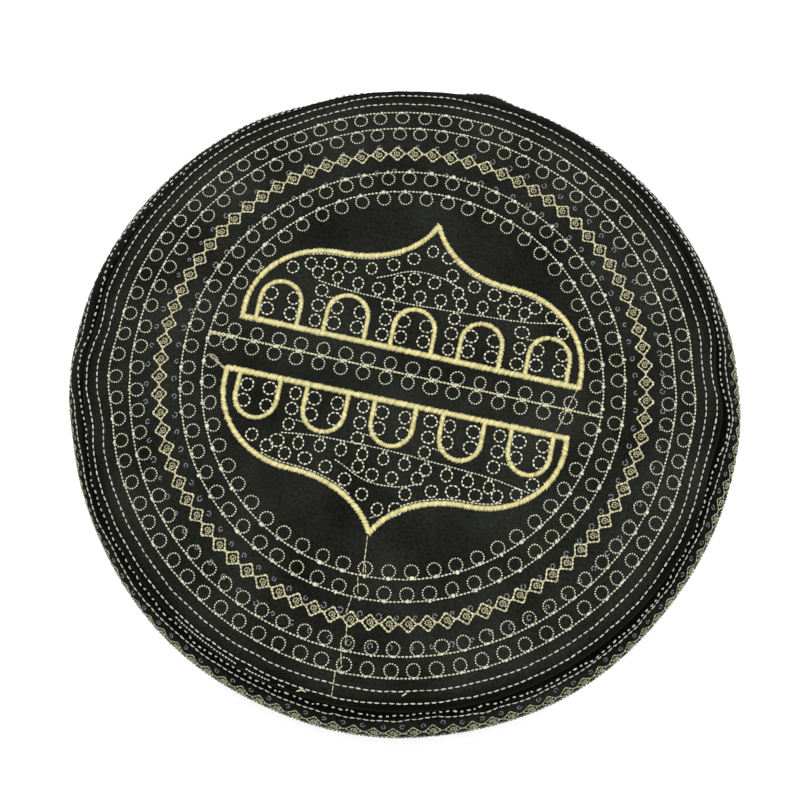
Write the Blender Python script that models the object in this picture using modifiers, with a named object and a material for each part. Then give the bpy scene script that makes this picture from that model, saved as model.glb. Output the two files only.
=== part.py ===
"""Embroidered prayer cap that lies on a flat surface by itself, its soft side band sunk into two rolls.

The cap is a round top panel with a turned-down edge, and a side band that is sewn under that edge.
Units are metres, +Z is up. The origin is on the surface, below the middle of the top panel, and the
point of the embroidered medallion lies along +Y. Azimuths run from +X towards +Y, in degrees.
"""

import math
from collections import namedtuple

import bpy

# Thicknesses and clearances
PANEL_CLOTH = 0.0018
BAND_CLOTH = 0.0018
SEAM_GAP = 0.0003
MERGE = 0.00005

# Top panel
STAND_HEIGHT = 0.0420
PANEL_RADIUS = 0.0870
FLAT_RADIUS = 0.0560
SHOULDER_DROP = 0.0044
EDGE_ROUND = 0.0034
EDGE_TURN = 0.0007

# Side band
UPPER_ROLL_OUT = 0.0064
VALLEY_IN = 0.0105
LOWER_ROLL_OUT = 0.0042
HEM_OUT = 0.0034
HEM_HEIGHT = 0.0026
SAG = 0.0026
DENT = 0.0016

# Fineness of the solids
AROUND = 84
PANEL_RINGS = 3
EDGE_STEPS = 3

# A row for each section of the band. Down is a share of the band's height from its top edge to the
# surface. The next three columns are shares of UPPER_ROLL_OUT, VALLEY_IN and LOWER_ROLL_OUT, and the
# last is the number of steps in which the wall reaches the section from the one above it.
Section = namedtuple("Section", "name down upper valley lower steps")
BAND_SECTIONS = (
    Section("shoulder", 0.080, 0.42, 0.00, 0.00, 1),
    Section("slope", 0.160, 0.76, 0.00, 0.00, 1),
    Section("widest", 0.280, 1.00, 0.00, 0.00, 1),
    Section("belly", 0.390, 0.97, 0.00, 0.00, 1),
    Section("turned_under", 0.478, 0.80, 0.00, 0.00, 2),
    Section("under_fold", 0.547, 0.06, 0.00, 0.00, 2),
    Section("valley_top", 0.589, 0.00, 0.86, 0.00, 2),
    Section("valley", 0.625, 0.00, 1.00, 0.00, 2),
    Section("valley_foot", 0.661, 0.00, 0.86, 0.00, 2),
    Section("over_fold", 0.697, 0.00, 0.00, 0.06, 2),
    Section("lower_top", 0.760, 0.00, 0.00, 0.80, 2),
    Section("lower_roll", 0.850, 0.00, 0.00, 1.00, 1),
)

# Where on the band each kind of dent is deepest and how far it spreads from there, as shares of the
# band's height from its top edge
ROLL_MIDDLE = 0.40
VALLEY_MIDDLE = 0.625
VALLEY_SPREAD = 0.12
LOWER_MIDDLE = 0.90
LOWER_SPREAD = 0.24
SEAM_SPREAD = 0.35

# A row for each soft dent or puff. Share is of the size that the table's comment names.
Ease = namedtuple("Ease", "name azimuth half_width share")

# Shares of UPPER_ROLL_OUT
ROLL_EASES = (
    Ease("right_puff", 18, 40, 0.14),
    Ease("back_right_puff", 54, 32, 0.20),
    Ease("back_seam", 86, 6, 0.32),
    Ease("back_dent", 105, 25, -0.66),
    Ease("left_puff", 158, 42, 0.16),
    Ease("left_dent", 214, 36, -0.38),
    Ease("front_left_dent", 254, 34, -0.24),
    Ease("front_dent", 292, 28, -0.14),
    Ease("front_right_dent", 332, 34, -0.20),
)

# Shares of VALLEY_IN, where the crease between the rolls draws in more or less
VALLEY_EASES = (
    Ease("right_crease", 24, 40, 0.04),
    Ease("back_crease", 86, 26, -0.06),
    Ease("left_crease", 170, 48, 0.04),
    Ease("front_left_crease", 232, 36, -0.16),
    Ease("front_crease", 296, 46, 0.18),
)

# Shares of LOWER_ROLL_OUT
LOWER_EASES = (
    Ease("lower_right", 8, 30, -0.24),
    Ease("lower_back", 86, 30, 0.30),
    Ease("lower_left", 168, 34, -0.26),
    Ease("lower_front_left", 218, 36, 0.08),
    Ease("lower_front", 286, 40, -0.22),
)

# Shares of SAG, the height by which the two rolls hang lower or stand higher
SAG_EASES = (
    Ease("right_sag", 36, 44, 0.70),
    Ease("back_lift", 98, 36, -0.80),
    Ease("left_sag", 162, 40, 0.60),
    Ease("left_lift", 214, 34, -0.70),
    Ease("front_sag", 262, 36, 0.50),
    Ease("front_lift", 318, 38, -0.60),
)

# Shares of DENT, pulled in at the seam between the panel and the band
SEAM_EASES = (
    Ease("right_pull", 14, 8, -0.95),
    Ease("front_right_pull", 355, 12, -0.95),
    Ease("back_left_pull", 121, 12, -0.50),
    Ease("left_pull", 179, 8, -0.55),
    Ease("lower_left_pull", 199, 8, -0.60),
)

# The shoulder's lean where the turned-down edge begins
EDGE_LEAN = math.atan2(2.0 * SHOULDER_DROP, PANEL_RADIUS - FLAT_RADIUS)
ROUND_START = PANEL_RADIUS - EDGE_ROUND * (1.0 - math.sin(EDGE_LEAN))
ROUND_END = STAND_HEIGHT - SHOULDER_DROP - EDGE_ROUND * math.cos(EDGE_LEAN)
EDGE_HEIGHT = ROUND_END - EDGE_TURN
BAND_TOP = EDGE_HEIGHT - SEAM_GAP


def ease_at(table, azimuth):
    """Sum of a table's soft dents and puffs at one azimuth."""
    total = 0.0
    for row in table:
        away = abs((azimuth - row.azimuth + 180.0) % 360.0 - 180.0)
        if away < row.half_width:
            total += row.share * 0.5 * (1.0 + math.cos(math.pi * away / row.half_width))
    return total


def swell(value, middle, half_width):
    """A smooth weight that is 1 at the middle and 0 beyond half_width from it."""
    away = min(abs(value - middle) / half_width, 1.0)
    return (1.0 - away * away) ** 2


def smooth_line(points, steps):
    """A Catmull-Rom line through the points, with the given number of steps between each two."""
    ends = [points[0], *points, points[-1]]
    line = []
    for a, b, c, d, count in zip(ends, ends[1:], ends[2:], ends[3:], steps):
        for step in range(count):
            t = step / count
            line.append(tuple(
                0.5 * (2 * q + (r - p) * t + (2 * p - 5 * q + 4 * r - s) * t * t + (3 * q - p - 3 * r + s) * t ** 3)
                for p, q, r, s in zip(a, b, c, d)
            ))
    line.append(points[-1])
    return line


def panel_profile():
    """The panel's outer side as (radius, height), from the middle down to the sewn edge."""
    profile = [(0.0, STAND_HEIGHT), (FLAT_RADIUS, STAND_HEIGHT)]
    for ring in range(1, PANEL_RINGS + 1):
        share = ring / PANEL_RINGS
        radius = FLAT_RADIUS + share * (ROUND_START - FLAT_RADIUS)
        profile.append((radius, STAND_HEIGHT - SHOULDER_DROP * share * share))
    middle = PANEL_RADIUS - EDGE_ROUND
    for step in range(1, EDGE_STEPS + 1):
        turn = EDGE_LEAN + (0.5 * math.pi - EDGE_LEAN) * step / EDGE_STEPS
        profile.append((middle + EDGE_ROUND * math.sin(turn), ROUND_END + EDGE_ROUND * math.cos(turn)))
    profile.append((PANEL_RADIUS, EDGE_HEIGHT))
    return profile


def band_profile():
    """The band's outer side as (radius, height), from under the panel's edge to the surface."""
    hem_radius = PANEL_RADIUS + HEM_OUT
    stations = [(PANEL_RADIUS, BAND_TOP - EDGE_TURN)]
    for row in BAND_SECTIONS:
        reach = row.upper * UPPER_ROLL_OUT - row.valley * VALLEY_IN + row.lower * LOWER_ROLL_OUT
        stations.append((PANEL_RADIUS + reach, BAND_TOP * (1.0 - row.down)))
    stations.append((hem_radius, HEM_HEIGHT))
    steps = [row.steps for row in BAND_SECTIONS] + [1]
    return [(PANEL_RADIUS, BAND_TOP), *smooth_line(stations, steps), (hem_radius, 0.0)]


def ease_panel(height, azimuth):
    """How far a point of the panel moves out and up, by its height and azimuth."""
    near_edge = min((STAND_HEIGHT - height) / (STAND_HEIGHT - ROUND_END), 1.0)
    return DENT * near_edge * ease_at(SEAM_EASES, azimuth), 0.0


def ease_band(height, azimuth):
    """How far a point of the band moves out and up. Its top edge and its hem stay upright."""
    height = min(max(height, HEM_HEIGHT), BAND_TOP - EDGE_TURN)
    down = 1.0 - height / BAND_TOP
    tucked = EDGE_TURN / BAND_TOP
    out = DENT * swell(down, tucked, SEAM_SPREAD) * ease_at(SEAM_EASES, azimuth)
    out += UPPER_ROLL_OUT * swell(down, ROLL_MIDDLE, ROLL_MIDDLE - tucked) * ease_at(ROLL_EASES, azimuth)
    out -= VALLEY_IN * swell(down, VALLEY_MIDDLE, VALLEY_SPREAD) * ease_at(VALLEY_EASES, azimuth)
    out += LOWER_ROLL_OUT * swell(down, LOWER_MIDDLE, LOWER_SPREAD) * ease_at(LOWER_EASES, azimuth)
    hem = 1.0 - HEM_HEIGHT / BAND_TOP
    middle = 0.5 * (tucked + hem)
    return out, -SAG * swell(down, middle, hem - middle) * ease_at(SAG_EASES, azimuth)


def turned_mesh(name, profile):
    """The mesh of a profile turned once round the Z axis by a Screw modifier."""
    line = bpy.data.meshes.new(name + "_profile")
    edges = [(i, i + 1) for i in range(len(profile) - 1)]
    line.from_pydata([(radius, 0.0, height) for radius, height in profile], edges, [])
    guide = bpy.data.objects.new(name + "_profile", line)
    bpy.context.scene.collection.objects.link(guide)
    screw = guide.modifiers.new("turn", "SCREW")
    screw.axis = "Z"
    screw.steps = AROUND
    screw.render_steps = AROUND
    screw.use_merge_vertices = True
    screw.merge_threshold = MERGE
    bpy.context.view_layer.update()
    evaluated = guide.evaluated_get(bpy.context.evaluated_depsgraph_get())
    mesh = bpy.data.meshes.new_from_object(evaluated)
    bpy.data.objects.remove(guide)
    mesh.name = name
    return mesh


def ease_mesh(mesh, ease):
    """Moves each point out from the axis and up, as ease(height, azimuth) says."""
    for vertex in mesh.vertices:
        radius = math.hypot(vertex.co.x, vertex.co.y)
        if radius < MERGE:
            continue
        azimuth = math.degrees(math.atan2(vertex.co.y, vertex.co.x))
        out, up = ease(vertex.co.z, azimuth)
        vertex.co.x *= 1.0 + out / radius
        vertex.co.y *= 1.0 + out / radius
        vertex.co.z += up


def cloth_material(name, color, roughness):
    """A dull cloth with no metal in it."""
    material = bpy.data.materials.new(name)
    material.use_nodes = True
    shader = material.node_tree.nodes["Principled BSDF"]
    shader.inputs["Base Color"].default_value = (*color, 1.0)
    shader.inputs["Roughness"].default_value = roughness
    shader.inputs["Metallic"].default_value = 0.0
    return material


def cloth_piece(collection, name, profile, ease, thickness, material):
    """A turned and eased surface with the cloth's thickness on its inner side."""
    mesh = turned_mesh(name, profile)
    ease_mesh(mesh, ease)
    mesh.materials.clear()
    mesh.materials.append(material)
    mesh.shade_smooth()
    piece = bpy.data.objects.new(name, mesh)
    collection.objects.link(piece)
    wall = piece.modifiers.new("cloth", "SOLIDIFY")
    wall.thickness = thickness
    wall.offset = -1.0
    wall.use_even_offset = True
    return piece


def build():
    """Makes the top panel and the side band in a collection named for the cap."""
    for old in list(bpy.data.objects):
        bpy.data.objects.remove(old)
    cap = bpy.data.collections.new("prayer_cap")
    bpy.context.scene.collection.children.link(cap)
    panel_cloth = cloth_material("panel_cloth", (0.020, 0.023, 0.027), 0.85)
    band_cloth = cloth_material("band_cloth", (0.016, 0.018, 0.021), 0.88)
    cloth_piece(cap, "top_panel", panel_profile(), ease_panel, PANEL_CLOTH, panel_cloth)
    cloth_piece(cap, "side_band", band_profile(), ease_band, BAND_CLOTH, band_cloth)


build()
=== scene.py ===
"""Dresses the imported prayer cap: fine cloth, each row of embroidery, the floor, the light and the camera.

Units are metres, +Z is up and azimuths run from +X towards +Y, in degrees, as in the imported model. The
embroidery is laid out flat, stitch by stitch, and then placed on the cloth's surface.
"""

import logging
import math
from abc import ABC, abstractmethod
from collections import namedtuple
from dataclasses import dataclass
from enum import Enum

import bmesh
import bpy
import numpy as np
from mathutils import Matrix, Vector

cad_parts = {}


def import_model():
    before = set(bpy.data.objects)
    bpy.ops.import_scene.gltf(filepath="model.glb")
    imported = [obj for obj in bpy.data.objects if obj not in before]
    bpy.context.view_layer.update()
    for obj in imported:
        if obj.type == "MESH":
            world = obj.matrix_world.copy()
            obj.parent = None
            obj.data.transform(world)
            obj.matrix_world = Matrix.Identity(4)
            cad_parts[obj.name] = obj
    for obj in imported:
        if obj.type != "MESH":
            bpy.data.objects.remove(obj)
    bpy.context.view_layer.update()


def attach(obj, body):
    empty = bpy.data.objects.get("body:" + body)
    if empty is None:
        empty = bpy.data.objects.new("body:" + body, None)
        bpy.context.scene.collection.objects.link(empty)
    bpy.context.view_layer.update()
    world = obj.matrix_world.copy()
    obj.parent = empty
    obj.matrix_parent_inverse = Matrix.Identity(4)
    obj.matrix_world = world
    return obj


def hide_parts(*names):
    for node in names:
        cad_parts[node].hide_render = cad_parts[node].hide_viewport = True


LOG = logging.getLogger("prayer_cap")
Array = np.ndarray
MM = 0.001

# A row for each section of the band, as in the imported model: down is a share of the band's height from its
# top edge, and the other columns are shares of the sizes upper_roll_out, valley_in and lower_roll_out.
Section = namedtuple("Section", "name down upper valley lower")
BAND_SECTIONS = (
    Section("shoulder", 0.080, 0.42, 0.00, 0.00),
    Section("slope", 0.160, 0.76, 0.00, 0.00),
    Section("widest", 0.280, 1.00, 0.00, 0.00),
    Section("belly", 0.390, 0.97, 0.00, 0.00),
    Section("turned_under", 0.478, 0.80, 0.00, 0.00),
    Section("under_fold", 0.547, 0.06, 0.00, 0.00),
    Section("valley_top", 0.589, 0.00, 0.86, 0.00),
    Section("valley", 0.625, 0.00, 1.00, 0.00),
    Section("valley_foot", 0.661, 0.00, 0.86, 0.00),
    Section("over_fold", 0.697, 0.00, 0.00, 0.06),
    Section("lower_top", 0.760, 0.00, 0.00, 0.80),
    Section("lower_roll", 0.850, 0.00, 0.00, 1.00),
)

# A row for each soft dent or puff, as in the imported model
Ease = namedtuple("Ease", "name azimuth half_width share")
ROLL_EASES = (
    Ease("right_puff", 18, 40, 0.14),
    Ease("back_right_puff", 54, 32, 0.20),
    Ease("back_seam", 86, 6, 0.32),
    Ease("back_dent", 105, 25, -0.66),
    Ease("left_puff", 158, 42, 0.16),
    Ease("left_dent", 214, 36, -0.38),
    Ease("front_left_dent", 254, 34, -0.24),
    Ease("front_dent", 292, 28, -0.14),
    Ease("front_right_dent", 332, 34, -0.20),
)
VALLEY_EASES = (
    Ease("right_crease", 24, 40, 0.04),
    Ease("back_crease", 86, 26, -0.06),
    Ease("left_crease", 170, 48, 0.04),
    Ease("front_left_crease", 232, 36, -0.16),
    Ease("front_crease", 296, 46, 0.18),
)
LOWER_EASES = (
    Ease("lower_right", 8, 30, -0.24),
    Ease("lower_back", 86, 30, 0.30),
    Ease("lower_left", 168, 34, -0.26),
    Ease("lower_front_left", 218, 36, 0.08),
    Ease("lower_front", 286, 40, -0.22),
)
SAG_EASES = (
    Ease("right_sag", 36, 44, 0.70),
    Ease("back_lift", 98, 36, -0.80),
    Ease("left_sag", 162, 40, 0.60),
    Ease("left_lift", 214, 34, -0.70),
    Ease("front_sag", 262, 36, 0.50),
    Ease("front_lift", 318, 38, -0.60),
)
SEAM_EASES = (
    Ease("right_pull", 14, 8, -0.95),
    Ease("front_right_pull", 355, 12, -0.95),
    Ease("back_left_pull", 121, 12, -0.50),
    Ease("left_pull", 179, 8, -0.55),
    Ease("lower_left_pull", 199, 8, -0.60),
)

# How much further down the band its rows of embroidery run than where the seam is straight, in millimetres
UPPER_ROW_EASES = (
    Ease("back_spread", 92, 110, 4.0),
    Ease("back_drop", 95, 24, 5.0),
    Ease("back_right_spread", 70, 26, 2.6),
    Ease("back_left_step", 124, 14, 0.5),
    Ease("back_right_drop", 38, 20, 1.7),
    Ease("right_bulge", 4, 14, 1.9),
    Ease("right_foot", 15, 6, 0.8),
    Ease("right_shoulder", 353, 8, 0.3),
    Ease("left_drop", 163, 13, 4.0),
    Ease("back_left_drop", 148, 16, 1.2),
    Ease("left_step", 180, 10, 1.2),
    Ease("left_bulge", 187.5, 8, 2.4),
    Ease("left_foot", 196, 10, 0.6),
    Ease("left_lift", 205, 7, -0.4),
    Ease("front_left_lift", 225, 8, -0.4),
    Ease("front_rise", 278, 7, 0.5),
    Ease("front_lift", 286, 5, -0.5),
    Ease("front_right_drop", 312, 26, 1.0),
    Ease("front_right_foot", 328, 12, 0.9),
)
LOWER_ROW_EASES = (
    Ease("back_drop", 100, 100, 8.0),
    Ease("back_right_drop", 38, 16, 1.3),
    Ease("right_bulge", 8, 22, 1.9),
    Ease("right_shoulder", 356, 8, 0.8),
    Ease("left_drop", 168, 14, 4.8),
    Ease("left_step", 180, 8, 2.4),
    Ease("left_bulge", 188, 7.5, 5.2),
    Ease("left_foot", 198, 8, 2.6),
    Ease("lower_left_foot", 212, 8, 0.8),
    Ease("front_left_foot", 231, 8, 0.8),
    Ease("front_left_lift", 255, 12, -0.5),
    Ease("front_lift", 286.5, 6, -1.0),
    Ease("front_right_drop", 312, 22, 0.3),
    Ease("right_lift", 340, 7, -0.7),
)

# How far out the seam's puckers push the panel's two running lines, in millimetres
EDGE_EASES = (
    Ease("front_right_dip", 349, 26, -0.7),
    Ease("right_dip", 14, 7, -0.55),
    Ease("back_left_dip", 114, 26, -0.75),
    Ease("left_back_dip", 151, 8, -0.35),
    Ease("left_dip", 180, 7, -0.6),
    Ease("left_bulge", 189, 8, 0.15),
    Ease("left_foot", 201, 10, -0.45),
)

# How far out a pucker of the shoulder pushes the outer ring and the inner running line, in millimetres
SHOULDER_EASES = (
    Ease("left_bulge", 189, 9, 0.75),
    Ease("left_side_dip", 199, 8, -0.15),
)

# A row for each ring of small circles on the panel: the radius of the line that they hang from, how many
# there are, the azimuth of the first, how light the line is and how many stitches tie each circle to it.
CircleRow = namedtuple("CircleRow", "name radius count azimuth shade knots")
CIRCLE_ROWS = (
    CircleRow("inner_ring", 0.0537, 55, 15.5, 0.50, 2),
    CircleRow("second_ring", 0.0595, 61, 16.85, 0.43, 2),
    CircleRow("third_ring", 0.0733, 75, 15.75, 0.42, 1),
    CircleRow("outer_ring", 0.0787, 81, 16.85, 0.36, 1),
)

# A row for each ring of small grey loops: radius, count, azimuth of the first
LoopRow = namedtuple("LoopRow", "name radius count azimuth")
LOOP_ROWS = (
    LoopRow("outer_loops", 0.0692, 82, 14.85),
    LoopRow("inner_loops", 0.0617, 80, 14.0),
)

# A row for each thread that jumps from one motif to the next: start and end as radius and azimuth
Jump = namedtuple("Jump", "name start_radius start_azimuth end_radius end_azimuth")
RING_JUMPS = (
    Jump("edge_to_outer", 0.0854, 269.0, 0.0789, 268.7),
    Jump("outer_across", 0.0789, 268.7, 0.0770, 269.9),
    Jump("outer_to_third", 0.0770, 269.6, 0.0722, 268.7),
    Jump("third_to_diamonds", 0.0720, 269.6, 0.0653, 268.8),
    Jump("diamonds_to_second", 0.0640, 268.2, 0.0594, 268.7),
    Jump("second_to_inner", 0.0584, 270.0, 0.0541, 269.0),
    Jump("inner_to_tip", 0.0530, 271.0, 0.0506, 270.4),
)
TAILS = (
    Jump("front_tail", 0.0862, 262.8, 0.0851, 264.0),
    Jump("front_tail_fork", 0.0853, 263.6, 0.0856, 264.6),
    Jump("front_right_tail", 0.0831, 281.2, 0.0822, 282.2),
)

# The medallion's circles, centred at (across, up) in mm from the middle of its base
Spot = namedtuple("Spot", "across up")
OUTLINE_SPOTS = (
    Spot(-35.8, 16.6), Spot(-31.2, 18.7), Spot(-28.8, 16.6), Spot(-26.1, 19.8), Spot(-20.7, 19.8),
    Spot(-14.8, 21.0), Spot(-9.2, 23.1), Spot(-4.0, 26.1), Spot(0.8, 29.2), Spot(5.4, 28.2),
    Spot(7.2, 23.6), Spot(13.8, 21.6), Spot(19.4, 20.5), Spot(25.3, 19.9), Spot(31.0, 19.2),
    Spot(35.9, 17.7), Spot(39.6, 14.2),
)
SECOND_LINE_SPOTS = (Spot(-6.6, 19.0), Spot(-2.5, 20.5), Spot(2.9, 20.4), Spot(9.7, 18.9))

# The medallion's two fine running lines, through (across, up) in mm
LOWER_LINE = (
    Spot(-28.4, 14.4), Spot(-20.0, 13.4), Spot(-10.0, 13.1), Spot(0.0, 13.2), Spot(11.0, 13.7),
    Spot(18.0, 14.1), Spot(28.4, 14.8), Spot(34.0, 15.7), Spot(39.2, 16.6),
)
UPPER_LINE = (
    Spot(-13.0, 18.5), Spot(-9.3, 20.0), Spot(-6.8, 21.3), Spot(-3.7, 22.4), Spot(0.0, 22.7),
    Spot(2.8, 22.5), Spot(6.0, 22.0), Spot(8.7, 20.9), Spot(11.0, 20.3),
)

# Threads that jump between the medallion's parts, as start and end on the panel in mm
Hop = namedtuple("Hop", "name start end")
MEDALLION_HOPS = (
    Hop("right_hop", (46.4, 7.0), (42.7, -6.3)),
    Hop("left_hop", (-52.5, -3.2), (-46.9, -6.4)),
    Hop("left_hop_double", (-52.3, -3.7), (-47.2, -6.7)),
    Hop("small_hop", (-45.0, 21.3), (-43.3, 24.0)),
    Hop("tip_hop", (-0.6, -43.0), (0.2, -53.0)),
    Hop("tip_stub", (-1.3, -38.6), (1.7, -37.2)),
)


class Hold(Enum):
    """How a sheet of cloth is held."""

    STRETCHED = "stretched"
    FOLDED = "folded"


class Motif(Enum):
    """Which thread a row is sewn with."""

    GOLD = "gold_thread"
    PALE = "pale_thread"
    GREY = "grey_thread"


def ease_at(table: tuple[Ease, ...], azimuth: Array) -> Array:
    """Sums a table's soft dents and puffs.

    Args:
        table: The rows to sum.
        azimuth: Azimuths in degrees.

    Returns:
        One share for each azimuth.
    """
    total = np.zeros_like(azimuth)
    for row in table:
        away = np.abs((azimuth - row.azimuth + 180.0) % 360.0 - 180.0)
        inside = away < row.half_width
        total += np.where(inside, row.share * 0.5 * (1.0 + np.cos(math.pi * away / row.half_width)), 0.0)
    return total


def swell(value: Array, middle: float, half_width: float) -> Array:
    """A smooth weight that is 1 at the middle and 0 beyond half_width from it."""
    away = np.minimum(np.abs(value - middle) / half_width, 1.0)
    return (1.0 - away * away) ** 2


def smooth_line(points: Array, steps: int) -> Array:
    """Draws a Catmull-Rom line.

    Args:
        points: The points that the line passes through, one to a row.
        steps: How many parts the line has between two points.

    Returns:
        The line's points, one to a row.
    """
    ends = np.vstack([points[:1], points, points[-1:]])
    t = (np.arange(steps) / steps)[:, None]
    parts = []
    for p, q, r, s in zip(ends, ends[1:], ends[2:], ends[3:]):
        parts.append(0.5 * (2 * q + (r - p) * t + (2 * p - 5 * q + 4 * r - s) * t**2 + (3 * q - p - 3 * r + s) * t**3))
    return np.vstack([*parts, points[-1:]])


def run_lengths(line: Array) -> Array:
    """The length of a line from its start to each of its points."""
    return np.concatenate([[0.0], np.cumsum(np.linalg.norm(np.diff(line, axis=0), axis=1))])


def spaced(line: Array, pitch: float) -> Array:
    """Points at an even pitch along a line.

    Args:
        line: The line's points, one to a row.
        pitch: The distance wanted between points, which is fitted to the line's length.

    Returns:
        The points, the line's two ends among them.
    """
    reach = run_lengths(line)
    count = max(1, round(reach[-1] / pitch))
    at = np.linspace(0.0, reach[-1], count + 1)
    return np.column_stack([np.interp(at, reach, column) for column in line.T])


@dataclass(frozen=True)
class CapShape:
    """The cap's outer cloth surfaces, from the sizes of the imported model."""

    stand_height: float = 0.0420
    panel_radius: float = 0.0870
    flat_radius: float = 0.0560
    shoulder_drop: float = 0.0044
    edge_round: float = 0.0034
    edge_turn: float = 0.0007
    seam_gap: float = 0.0003
    upper_roll_out: float = 0.0064
    valley_in: float = 0.0105
    lower_roll_out: float = 0.0042
    hem_out: float = 0.0034
    hem_height: float = 0.0026
    sag: float = 0.0026
    dent: float = 0.0016
    cloth: float = 0.0018
    pucker: float = 0.00016

    @property
    def edge_lean(self) -> float:
        """The shoulder's lean where the turned-down edge begins."""
        return math.atan2(2.0 * self.shoulder_drop, self.panel_radius - self.flat_radius)

    @property
    def round_start(self) -> float:
        """The radius at which the turned-down edge begins."""
        return self.panel_radius - self.edge_round * (1.0 - math.sin(self.edge_lean))

    @property
    def round_end(self) -> float:
        """The height at which the turned-down edge is upright."""
        return self.stand_height - self.shoulder_drop - self.edge_round * math.cos(self.edge_lean)

    @property
    def band_top(self) -> float:
        """The height of the band's top edge."""
        return self.round_end - self.edge_turn - self.seam_gap

    def panel_line(self, steps: int = 60) -> Array:
        """The panel's outer side as rows of (radius, height), from the middle down to the sewn edge."""
        flat = np.linspace(0.0, self.flat_radius, steps)
        share = np.linspace(0.0, 1.0, steps)[1:]
        turn = np.linspace(self.edge_lean, 0.5 * math.pi, steps // 4)[1:]
        middle = self.panel_radius - self.edge_round
        return np.vstack([
            np.column_stack([flat, np.full_like(flat, self.stand_height)]),
            np.column_stack([
                self.flat_radius + share * (self.round_start - self.flat_radius),
                self.stand_height - self.shoulder_drop * share**2,
            ]),
            np.column_stack([
                middle + self.edge_round * np.sin(turn),
                self.round_end + self.edge_round * np.cos(turn),
            ]),
            [[self.panel_radius, self.round_end - self.edge_turn]],
        ])

    def band_line(self, steps: int = 8) -> Array:
        """The band's outer side as rows of (radius, height), from under the panel's edge to the surface."""
        hem_radius = self.panel_radius + self.hem_out
        stations = [(self.panel_radius, self.band_top - self.edge_turn)]
        for row in BAND_SECTIONS:
            reach = row.upper * self.upper_roll_out - row.valley * self.valley_in + row.lower * self.lower_roll_out
            stations.append((self.panel_radius + reach, self.band_top * (1.0 - row.down)))
        stations.append((hem_radius, self.hem_height))
        line = smooth_line(np.array(stations), steps)
        return np.vstack([[self.panel_radius, self.band_top], line, [hem_radius, 0.0]])

    def ease_panel(self, height: Array, azimuth: Array) -> tuple[Array, Array]:
        """How far points of the panel move out and up, by their height and azimuth."""
        near_edge = np.minimum((self.stand_height - height) / (self.stand_height - self.round_end), 1.0)
        return self.dent * near_edge * ease_at(SEAM_EASES, azimuth), np.zeros_like(azimuth)

    def ease_band(self, height: Array, azimuth: Array) -> tuple[Array, Array]:
        """How far points of the band move out and up, by their height and azimuth."""
        height = np.clip(height, self.hem_height, self.band_top - self.edge_turn)
        down = 1.0 - height / self.band_top
        tucked = self.edge_turn / self.band_top
        out = self.dent * swell(down, tucked, 0.35) * ease_at(SEAM_EASES, azimuth)
        out += self.upper_roll_out * swell(down, 0.40, 0.40 - tucked) * ease_at(ROLL_EASES, azimuth)
        out -= self.valley_in * swell(down, 0.625, 0.12) * ease_at(VALLEY_EASES, azimuth)
        out += self.lower_roll_out * swell(down, 0.90, 0.24) * ease_at(LOWER_EASES, azimuth)
        hem = 1.0 - self.hem_height / self.band_top
        middle = 0.5 * (tucked + hem)
        return out, -self.sag * swell(down, middle, hem - middle) * ease_at(SAG_EASES, azimuth)


class Ground(ABC):
    """A cloth surface that stitches lie on. Flat places are two lengths on the cloth, in metres."""

    faces: float = 1.0

    def __init__(self, shape: CapShape) -> None:
        """Keeps the cap's sizes."""
        self.shape = shape

    @abstractmethod
    def points(self, flat: Array) -> Array:
        """The places in space of flat places."""

    def set_in(self, flat: Array) -> tuple[Array, Array]:
        """Finds where flat places are and which way the cloth faces there.

        Args:
            flat: Flat places, one to a row.

        Returns:
            The places in space and the unit normals there.
        """
        step = 0.00002
        here = self.points(flat)
        along = self.points(flat + [step, 0.0]) - here
        across = self.points(flat + [0.0, step]) - here
        normal = np.cross(along, across) * self.faces
        return here, normal / np.linalg.norm(normal, axis=1, keepdims=True)


class PanelGround(Ground):
    """The top panel. A flat place is x and y, as seen from straight above."""

    def __init__(self, shape: CapShape) -> None:
        """Draws the panel's profile once."""
        super().__init__(shape)
        self.line = shape.panel_line()

    def relief(self, radius: Array, azimuth: Array) -> Array:
        """The small puckers that the stitching draws into the panel near its edge."""
        turn = np.radians(azimuth)
        waves = np.sin(47 * turn + 9 * np.sin(5 * turn)) + 0.6 * np.sin(83 * turn + 7 * np.sin(3 * turn + 1))
        return self.shape.pucker * waves * swell(radius, 0.0835, 0.0075)

    def points(self, flat: Array) -> Array:
        """The places in space of flat places on the panel."""
        radius = np.hypot(flat[:, 0], flat[:, 1])
        azimuth = np.degrees(np.arctan2(flat[:, 1], flat[:, 0]))
        upto = self.line[:-1]
        height = np.interp(radius, upto[:, 0], upto[:, 1])
        return self.placed(radius, height, azimuth)

    def placed(self, radius: Array, height: Array, azimuth: Array) -> Array:
        """The eased places of points of the panel's profile."""
        out, up = self.shape.ease_panel(height, azimuth)
        turn = np.radians(azimuth)
        rise = self.relief(radius, azimuth)
        return np.column_stack([
            (radius + out) * np.cos(turn), (radius + out) * np.sin(turn), height + up + rise,
        ])


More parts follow.
